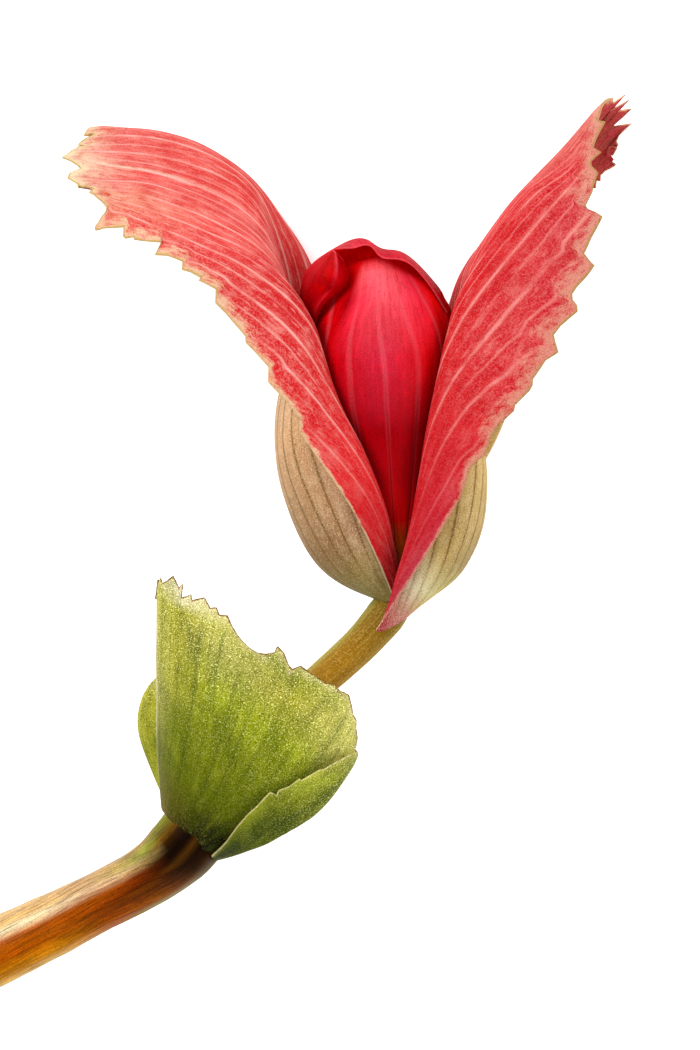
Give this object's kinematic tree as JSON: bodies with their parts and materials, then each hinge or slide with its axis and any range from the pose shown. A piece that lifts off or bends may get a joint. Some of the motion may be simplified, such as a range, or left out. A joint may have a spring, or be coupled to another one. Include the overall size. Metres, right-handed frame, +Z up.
{
  "type": "begonia flower",
  "caption": "Half-open begonia flower lying on its side: crimson bud between two spread coral tepals with saw margins, on an olive stalk with green bracts and a cut stem.",
  "frame": {"origin": "middle of the bottom face of the bounding box, on the surface that the flower lies on", "axes": "+Y runs along the flower's length towards the petal tips, +Z up from the surface, +X to the right seen from above with the petals away from the viewer"},
  "size_m": [0.0832, 0.1092, 0.0263],
  "materials": {
    "stem": "smooth moist plant skin, orange brown with fine lengthwise streaks",
    "bract": "thin leafy tissue, yellow green with granular sparkle and veins",
    "pedicel": "smooth olive plant skin, ochre towards the bracts",
    "outer_tepal": "velvety petal, coral red inside with pale veins and margins, beige outside at the cup",
    "inner_tepal": "velvety crimson petal with paler veins",
    "stamen": "powdery yellow anthers"
  },
  "bodies": {
    "root": {"main_stem": "stem", "bract_front": "bract", "bract_back": "bract", "pedicel": "pedicel", "outer_tepal_left": "outer_tepal", "outer_tepal_right": "outer_tepal", "inner_tepal_front": "inner_tepal", "inner_tepal_back": "inner_tepal", "inner_tepal_left": "inner_tepal", "inner_tepal_right": "inner_tepal", "stamens": "stamen"}
  },
  "joints": []
}
